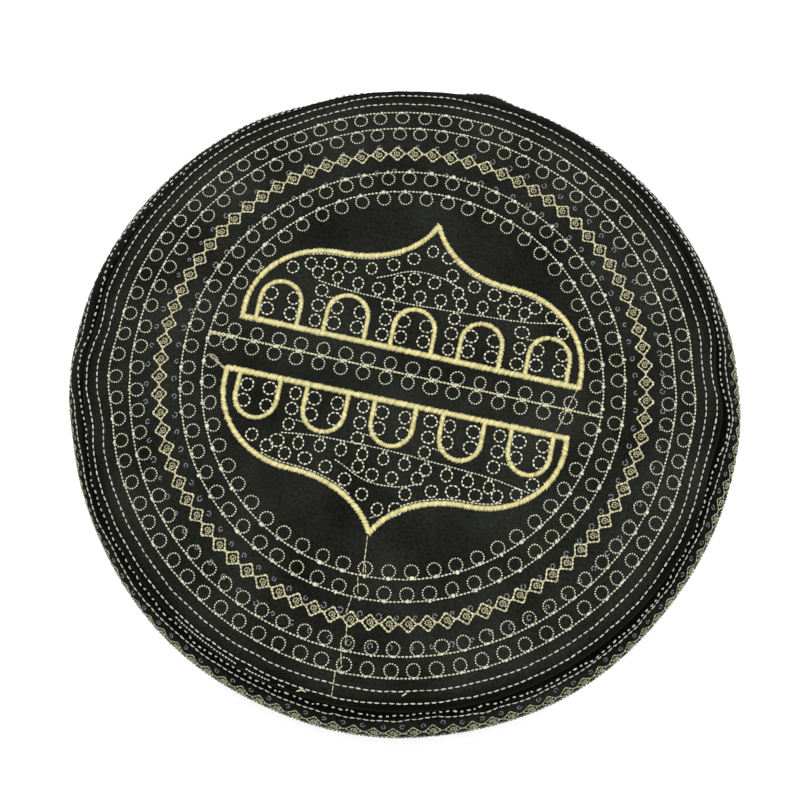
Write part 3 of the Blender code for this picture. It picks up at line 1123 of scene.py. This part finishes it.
@dataclass(frozen=True)
class MedallionHalf:
    """One half of the pointed medallion: a satin outline over a base, five arches, circles and fine lines."""

    middle: tuple[float, float]
    lean: float
    up: float
    tip: float
    tip_across: float
    inner_in: float
    inner_shade: float
    half_width: float = 46.3
    side_height: float = 3.0
    shoulder: tuple[float, float] = (24.0, 23.4)
    outline_width: float = 1.74
    base_width: float = 1.93
    arch_width: float = 1.52
    arch_leg: float = 5.6
    arch_height: float = 12.0
    arch_middles: tuple[float, ...] = (-37.0, -18.45, 0.0, 18.55, 37.1)
    column_middles: tuple[float, ...] = (-26.8, -8.3, 10.1, 28.7)

    def place(self, spots: Array) -> Array:
        """Flat places on the panel, in metres, of spots (across, up) in mm."""
        spots = np.atleast_2d(np.array(spots, float))
        across = spots[:, 0] + self.middle[0]
        up = self.up * spots[:, 1] + self.middle[1] + self.lean * across
        return np.column_stack([across, up]) * MM

    def outline(self) -> Array:
        """The outline's middle line from the base's left end over the tip to its right end, in mm."""
        wide, high = self.half_width - self.shoulder[0], self.shoulder[1] - self.side_height
        turn = np.linspace(0.0, 0.5 * math.pi, 24)
        side = np.column_stack([self.shoulder[0] + wide * np.cos(turn), self.side_height + high * np.sin(turn)])
        t = np.linspace(0.0, 1.0, 24)[1:, None]
        a, b = np.array(self.shoulder), np.array((13.0, self.shoulder[1]))
        c, d = np.array((3.5, 28.5)), np.array((0.0, self.tip))
        curve = (1 - t) ** 3 * a + 3 * (1 - t) ** 2 * t * b + 3 * (1 - t) * t**2 * c + t**3 * d
        right = np.vstack([[self.half_width, 0.0], side, curve])
        whole = np.vstack([right * [-1.0, 1.0], right[-2::-1]])
        whole[:, 0] += self.tip_across * swell(whole[:, 0], 0.0, self.shoulder[0])
        return whole

    def arch(self, middle: float) -> Array:
        """The middle line of one arch, from foot to foot, in mm."""
        turn = np.linspace(math.pi, 0.0, 17)
        spring = self.arch_height - self.arch_leg
        bow = np.column_stack([middle + self.arch_leg * np.cos(turn), spring + self.arch_leg * np.sin(turn)])
        return np.vstack([[middle - self.arch_leg, 0.3], bow, [middle + self.arch_leg, 0.3]])

    def satin(self, work: Embroidery) -> None:
        """Sews the outline, the base and the arches."""
        line = self.outline()
        tip = len(line) // 2
        for part in (line[: tip + 1], line[tip:]):
            work.satin(self.place(smooth_line(part, 3)), self.outline_width * MM)
        base = np.array([(-self.half_width - 0.3, 0.0), (self.half_width + 0.3, 0.0)])
        work.satin(self.place(base), self.base_width * MM)
        for middle in self.arch_middles:
            work.satin(self.place(self.arch(middle)), self.arch_width * MM)

    def circles(self, work: Embroidery) -> None:
        """Sews the circles inside and between the arches and those along the outline and the fine lines."""
        inside = [(m + s, v) for m in self.arch_middles for s in (-3.2, 3.2) for v in (3.5, 7.9)]
        between = [(m, v) for m in self.column_middles for v in (3.0, 7.4, 11.7)]
        small = [*inside, *between, *OUTLINE_SPOTS, *SECOND_LINE_SPOTS]
        spots = self.place(small) + 0.00008 * work.rng.standard_normal((len(small), 2))
        radius = np.where(np.arange(len(small)) < len(inside), 0.0018, 0.00172)
        work.rings(spots, radius, 9, DASH, 0.64, work.rng.uniform(0.0, 6.28, len(small)))
        line = np.array(LOWER_LINE)
        across = -23.2 + 5.73 * np.arange(10)
        height = np.interp(across, line[:, 0], line[:, 1]) + 2.5
        spots = self.place(np.column_stack([across, height]))
        foot = -0.5 * math.pi if self.up > 0 else 0.5 * math.pi
        work.rings(spots, 0.00174, 9, DASH, 0.64, foot, 1.0, 0.90)
        for sign in (-1.0, 1.0):
            top = np.column_stack([across + 0.30 * sign, height - 1.66])
            low = np.column_stack([across + 0.62 * sign, height - 2.38])
            work.sew(self.place(top), self.place(low), BEAD, 0.55)

    def lines(self, work: Embroidery) -> None:
        """Sews the fine running lines and the stubs that tie the columns of circles to the arches."""
        for points in (LOWER_LINE, UPPER_LINE):
            work.follow(self.place(smooth_line(np.array(points), 6)), 0.00092, FINE, 0.5)
        outline = self.outline()
        for side in (-1.0, 1.0):
            chosen = outline[(side * outline[:, 0] > 7.0) & (side * outline[:, 0] < 34.0) & (outline[:, 1] > 12.0)]
            along = np.gradient(chosen, axis=0)
            along /= np.linalg.norm(along, axis=1, keepdims=True)
            inner = chosen + self.inner_in * np.column_stack([along[:, 1], -along[:, 0]])
            work.follow(self.place(inner), 0.00105, FINE, self.inner_shade)
        for middle in self.arch_middles[1:]:
            stub = np.array([(middle - 6.9, 10.2), (middle - 4.6, 10.4)])
            work.follow(self.place(stub), 0.0008, BEAD, 0.5)


@dataclass(frozen=True)
class MiddleLine:
    """The line across the medallion, with circles on both sides of it."""

    left: float = -54.0
    right: float = 54.4
    height: float = 1.40
    lean: float = -0.025
    pitch: float = 6.145
    count: int = 17
    circle_radius: float = 1.8
    off: float = 2.1

    def height_at(self, across: Array) -> Array:
        """The line's height on the panel, in mm, at lengths across it."""
        return self.height + self.lean * across

    def sew(self, line_work: Embroidery, circle_work: Embroidery) -> None:
        """Sews the line and its circles, each on its own piece."""
        across = np.array([self.left, self.right])
        for off, pitch, thread in ((0.0, 0.00104, CHAIN), (0.16, 0.00082, LINE)):
            line_work.follow(np.column_stack([across, self.height_at(across) + off]) * MM, pitch, thread, 0.74)
        thick = np.array([self.left, self.left + 6.0])
        for off in (-0.25, 0.35):
            line_work.follow(np.column_stack([thick, self.height_at(thick) + off]) * MM, 0.0011, CHAIN, 0.60)
        for first, side in ((-47.1, 1.0), (-47.6, -1.0)):
            spots = first + self.pitch * np.arange(self.count - 1)
            centres = np.column_stack([spots, self.height_at(spots) + side * self.off]) * MM
            circle_work.rings(centres, self.circle_radius * MM, 15, BEAD, 0.60, -side * 0.5 * math.pi)
            for off in (0.18, 0.36):
                tie = np.column_stack([spots - 0.6, self.height_at(spots - 0.6) + side * off]) * MM
                line_work.sew(tie, tie + [0.0012, 0.0], BEAD, 0.60)


@dataclass(frozen=True)
class BandRows:
    """The rows of embroidery on the side band, from the seam down, and the hem's stitching."""

    upper_down: float = 0.0012
    lower_down: float = 0.0032
    running_pitch: float = 0.00185
    diamond_down: float = 0.0083
    diamond_count: int = 110
    diamond_tall: float = 0.0026
    diamond_wide: float = 0.0022
    loop_downs: tuple[float, float] = (0.0053, 0.0113)
    line_down: float = 0.0126
    circle_count: int = 95
    circle_radius: float = 0.0018
    hem_up: float = 0.0021
    sunk_down: float = 0.0031
    sunk_azimuths: tuple[float, float] = (144.5, 172.0)
    sunk_pitch: float = 0.0043

    def around(self, ground: BandGround, down: float, sway: float, work: Embroidery) -> Array:
        """A line round the band at one length down, with a slow sway up and down."""
        turn = np.linspace(0.0, 2.0 * math.pi, 1081)
        shift = work.rng.uniform(0.0, 6.28, 3)
        waves = np.sin(9 * turn + shift[0]) + 0.7 * np.sin(23 * turn + shift[1]) + 0.5 * np.sin(41 * turn + shift[2])
        return np.column_stack([turn * ground.mean_radius, down + sway * waves])

    def upper_running(self, work: Embroidery, ground: BandGround) -> None:
        """Sews the running line next to the seam, which the puckers break up."""
        work.follow(self.around(ground, self.upper_down, 0.00005, work), self.running_pitch, TUCKED, 0.68, 0.00030)

    def lower_running(self, work: Embroidery, ground: BandGround) -> None:
        """Sews the second running line."""
        work.follow(self.around(ground, self.lower_down, 0.00005, work), self.running_pitch, CLOSE, 0.50, 0.00010)

    def sunk(self, work: Embroidery, ground: BandGround) -> None:
        """Sews the short line that has sunk into the fold under the seam, where only dots of it show."""
        ends = np.radians(self.sunk_azimuths) * ground.mean_radius
        line = np.column_stack([np.linspace(*ends, 40), np.full(40, self.sunk_down)])
        work.follow(line, self.sunk_pitch, SUNK, 0.30, 0.00015)

    def diamonds(self, work: Embroidery, ground: BandGround) -> None:
        """Sews the ring of linked diamonds on the upper roll."""
        step = 2.0 * math.pi * ground.mean_radius / self.diamond_count
        middle = np.column_stack([step * (0.5 + np.arange(self.diamond_count)), np.full(self.diamond_count, self.diamond_down)])
        middle = middle + 0.00008 * work.rng.standard_normal(middle.shape)
        out = np.tile([0.0, 1.0], (self.diamond_count, 1))
        side = np.tile([1.0, 0.0], (self.diamond_count, 1))
        sew_diamonds(work, middle, out, side, (self.diamond_tall, self.diamond_wide), BAND_DIAMOND)
        inner = self.diamond_wide - 0.0001
        work.sew(middle + side * inner, middle + side * (step - inner), BAND_DIAMOND, 0.45)

    def loops(self, work: Embroidery, ground: BandGround) -> None:
        """Sews the dim loops above and below the diamonds."""
        step = 2.0 * math.pi * ground.mean_radius / self.diamond_count
        for down in self.loop_downs:
            centres = np.column_stack([step * np.arange(self.diamond_count), np.full(self.diamond_count, down)])
            centres = centres + 0.00014 * work.rng.standard_normal(centres.shape)
            work.rings(centres, 0.00070, 6, FINE, 0.06, work.rng.uniform(0, 6.28, self.diamond_count), 0.86, 0.85)

    def circles(self, work: Embroidery, ground: BandGround) -> None:
        """Sews the line below the diamonds and the circles that hang from it, where the roll turns under."""
        work.follow(self.around(ground, self.line_down, 0.00006, work), 0.00102, CHAIN, 0.55)
        step = 2.0 * math.pi * ground.mean_radius / self.circle_count
        down = self.line_down + self.circle_radius + 0.00012
        centres = np.column_stack([step * np.arange(self.circle_count), np.full(self.circle_count, down)])
        centres = centres + 0.00006 * work.rng.standard_normal(centres.shape)
        work.rings(centres, self.circle_radius, 16, BEAD, 0.55, -0.5 * math.pi)

    def hem(self, work: Embroidery, ground: BandGround) -> None:
        """Sews the running line over the hem."""
        work.follow(self.around(ground, ground.reach[-1] - self.hem_up, 0.00003, work), 0.0024, RUNNING, 0.3)


@dataclass(frozen=True)
class Viewpoint:
    """The camera, at the photograph's angle."""

    azimuth: float = 12.0
    elevation: float = 75.5
    distance: float = 0.400
    aim_right: float = -0.00076
    aim_forward: float = -0.00571
    aim_height: float = 0.0420
    roll: float = 0.6
    lens: float = 67.54
    sensor: float = 36.0

    def make(self) -> bpy.types.Object:
        """Sets up the scene's camera."""
        a, e = math.radians(self.azimuth), math.radians(self.elevation)
        right = Vector((math.cos(a), math.sin(a), 0.0))
        forward = Vector((-math.sin(a), math.cos(a), 0.0))
        back = Vector((math.sin(a) * math.cos(e), -math.cos(a) * math.cos(e), math.sin(e)))
        aim = right * self.aim_right + forward * self.aim_forward + Vector((0.0, 0.0, self.aim_height))
        up = back.cross(right)
        turned = Matrix((right, up, back)).transposed().to_4x4() @ Matrix.Rotation(-math.radians(self.roll), 4, "Z")
        data = bpy.data.cameras.new("photo_view")
        data.lens = self.lens
        data.sensor_width = self.sensor
        data.clip_start = 0.01
        camera = bpy.data.objects.new("photo_view", data)
        camera.matrix_world = Matrix.Translation(aim + back * self.distance) @ turned
        bpy.context.scene.collection.objects.link(camera)
        bpy.context.scene.camera = camera
        return camera


@dataclass(frozen=True)
class Studio:
    """A plain pale floor and plain soft light."""

    floor_half: float = 2.5
    floor_drop: float = 0.0002
    world_strength: float = 1.50
    key_power: float = 5.5
    fill_power: float = 2.5

    def floor(self) -> None:
        """Lays the floor."""
        bm = bmesh.new()
        bmesh.ops.create_grid(bm, x_segments=4, y_segments=4, size=self.floor_half)
        bmesh.ops.translate(bm, verts=bm.verts, vec=(0.0, 0.0, -self.floor_drop))
        mesh = bpy.data.meshes.new("floor")
        bm.to_mesh(mesh)
        bm.free()
        nodes = Nodes("pale_floor")
        grain = nodes.add("ShaderNodeTexNoise", scale=3.0, detail=1.0)
        spot = nodes.add("ShaderNodeTexCoord")
        nodes.link(spot.outputs["Object"], grain.inputs["Vector"])
        nodes.link(nodes.blend(grain.outputs["Fac"], (0.90, 0.90, 0.90), (0.92, 0.92, 0.92)), nodes.shader.inputs["Base Color"])
        nodes.shader.inputs["Roughness"].default_value = 0.9
        nodes.shader.inputs["Specular IOR Level"].default_value = 0.1
        mesh.materials.append(nodes.material)
        floor = bpy.data.objects.new("floor", mesh)
        bpy.context.scene.collection.objects.link(floor)

    def lamp(self, name: str, place: tuple[float, float, float], size: float, power: float) -> None:
        """Hangs a soft square lamp that shines at the cap."""
        data = bpy.data.lights.new(name, "AREA")
        data.size = size
        data.energy = power
        lamp = bpy.data.objects.new(name, data)
        lamp.location = place
        lamp.rotation_euler = (Vector((0.0, 0.0, 0.03)) - Vector(place)).to_track_quat("-Z", "Y").to_euler()
        bpy.context.scene.collection.objects.link(lamp)

    def make(self) -> None:
        """Sets up floor, world and lamps."""
        self.floor()
        world = bpy.data.worlds.new("pale_room")
        world.use_nodes = True
        world.node_tree.nodes["Background"].inputs["Color"].default_value = (1.0, 1.0, 1.0, 1.0)
        world.node_tree.nodes["Background"].inputs["Strength"].default_value = self.world_strength
        bpy.context.scene.world = world
        self.lamp("key_lamp", (-0.30, 0.35, 0.80), 0.70, self.key_power)
        self.lamp("fill_lamp", (0.55, -0.35, 0.60), 0.60, self.fill_power)
        bpy.context.scene.view_settings.view_transform = "Standard"


PANEL_TWILL = TwillFinish("panel_twill", "panel_cloth", (0.0010, 0.0012, 0.0005), (0.0240, 0.0254, 0.0211), 0.01)
BAND_TWILL = TwillFinish("band_twill", "band_cloth", (0.0008, 0.0010, 0.0005), (0.0258, 0.0274, 0.0216), 0.0)
GOLD_SATIN = ThreadFinish("gold_satin", "gold_thread", (0.15, 0.13, 0.03), (0.56, 0.51, 0.23), roughness=0.38)
GOLD_LINE = ThreadFinish("gold_line", "gold_thread", (0.16, 0.15, 0.07), (0.41, 0.39, 0.235), roughness=0.42)
# A darker copy of the gold thread for the side band: painted shade, as the band faces sideways, away from the light.
BAND_GOLD = ThreadFinish("band_gold_line", "gold_thread", (0.05, 0.05, 0.02), (0.28, 0.28, 0.16), roughness=0.5)
PALE_THREAD = ThreadFinish("pale_line", "pale_thread", (0.18, 0.18, 0.12), (0.47, 0.465, 0.345), roughness=0.42)
WHITE_THREAD = ThreadFinish("white_line", "pale_thread", (0.19, 0.195, 0.16), (0.38, 0.39, 0.34), roughness=0.42)
GREY_THREAD = ThreadFinish("grey_line", "grey_thread", (0.05, 0.05, 0.06), (0.17, 0.168, 0.185), roughness=0.5)


def sew_panel(ground: PanelGround, gold: bpy.types.Material, satin: bpy.types.Material,
              pale: bpy.types.Material, white: bpy.types.Material, grey: bpy.types.Material) -> None:
    """Sews all embroidery of the top panel.

    Args:
        ground: The panel's surface.
        gold: The finish of the gold lines.
        satin: The finish of the satin columns.
        pale: The finish of the pale lines.
        white: The finish of the running stitches.
        grey: The finish of the dim loops.
    """
    rings = CrownRings()
    halves = (
        MedallionHalf(middle=(0.3, 7.86), lean=-0.0215, up=1.0, tip=37.0, tip_across=0.9, inner_in=0.86, inner_shade=0.10),
        MedallionHalf(middle=(-0.4, -6.7), lean=-0.015, up=-1.0, tip=35.9, tip_across=0.0, inner_in=1.10, inner_shade=0.50),
    )
    circles, ring_lines = Embroidery("ring_circles", ground, 11), Embroidery("ring_lines", ground, 20)
    rings.circles(circles, ring_lines)
    circles.make(pale, Motif.PALE.value)
    ring_lines.make(pale, Motif.PALE.value)
    diamonds = Embroidery("ring_diamonds", ground, 12)
    rings.diamonds(diamonds)
    diamonds.make(gold, Motif.GOLD.value)
    loops = Embroidery("ring_loops", ground, 13)
    rings.loops(loops)
    loops.make(grey, Motif.GREY.value)
    running = Embroidery("edge_running_stitches", ground, 14)
    rings.running(running)
    running.make(white, Motif.PALE.value)
    columns = Embroidery("medallion_satin", ground, 15)
    small = Embroidery("medallion_circles", ground, 16, oval=0.07)
    lines = Embroidery("medallion_lines", ground, 17)
    middle = Embroidery("middle_line", ground, 19)
    for half in halves:
        half.satin(columns)
        half.circles(small)
        half.lines(lines)
    MiddleLine().sew(middle, small)
    columns.make(satin, Motif.GOLD.value)
    small.make(pale, Motif.PALE.value)
    lines.make(pale, Motif.PALE.value)
    middle.make(gold, Motif.GOLD.value)
    threads = Embroidery("jump_threads", ground, 18)
    rings.threads(threads)
    for row in MEDALLION_HOPS:
        threads.follow(np.array([row.start, row.end]) * MM, 0.0018, LOOSE, 0.45, 0.00002)
    threads.make(gold, Motif.GOLD.value)


def sew_band(shape: CapShape, gold: bpy.types.Material, white: bpy.types.Material, grey: bpy.types.Material) -> None:
    """Sews all stitching of the side band.

    Args:
        shape: The cap's sizes.
        gold: The finish of the gold lines.
        white: The finish of the running stitches.
        grey: The finish of the dim loops.
    """
    rows = BandRows()
    level, upper, ground = BandGround(shape), RowGround(shape, UPPER_ROW_EASES), RowGround(shape, LOWER_ROW_EASES)
    tucked = Embroidery("seam_running_stitches", upper, 25)
    rows.upper_running(tucked, upper)
    tucked.make(white, Motif.PALE.value)
    sunk = Embroidery("sunk_stitches", level, 26)
    rows.sunk(sunk, level)
    sunk.make(white, Motif.PALE.value)
    running = Embroidery("band_running_stitches", ground, 21)
    rows.lower_running(running, ground)
    running.make(white, Motif.PALE.value)
    diamonds = Embroidery("band_diamonds", ground, 22)
    rows.diamonds(diamonds, ground)
    diamonds.make(gold, Motif.GOLD.value)
    circles = Embroidery("band_circles", ground, 27)
    rows.circles(circles, ground)
    circles.make(gold, Motif.GOLD.value)
    loops = Embroidery("band_loops", ground, 23)
    rows.loops(loops, ground)
    loops.make(grey, Motif.GREY.value)
    hem = Embroidery("hem_stitches", level, 24)
    rows.hem(hem, level)
    hem.make(white, Motif.PALE.value)


def main() -> None:
    """Builds the dressed cap, its studio and the camera."""
    logging.basicConfig(level=logging.INFO, format="%(name)s: %(message)s")
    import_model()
    Viewpoint().make()
    Studio().make()
    shape = CapShape()
    panel, band = PanelGround(shape), BandGround(shape)
    Cloths(shape, panel, band).make(PANEL_TWILL, BAND_TWILL)
    finishes = (GOLD_SATIN, GOLD_LINE, BAND_GOLD, PALE_THREAD, WHITE_THREAD, GREY_THREAD)
    satin, gold, shaded_gold, pale, white, grey = (finish.make() for finish in finishes)
    sew_panel(panel, gold, satin, pale, white, grey)
    sew_band(shape, shaded_gold, white, grey)


if __name__ == "__main__":
    main()
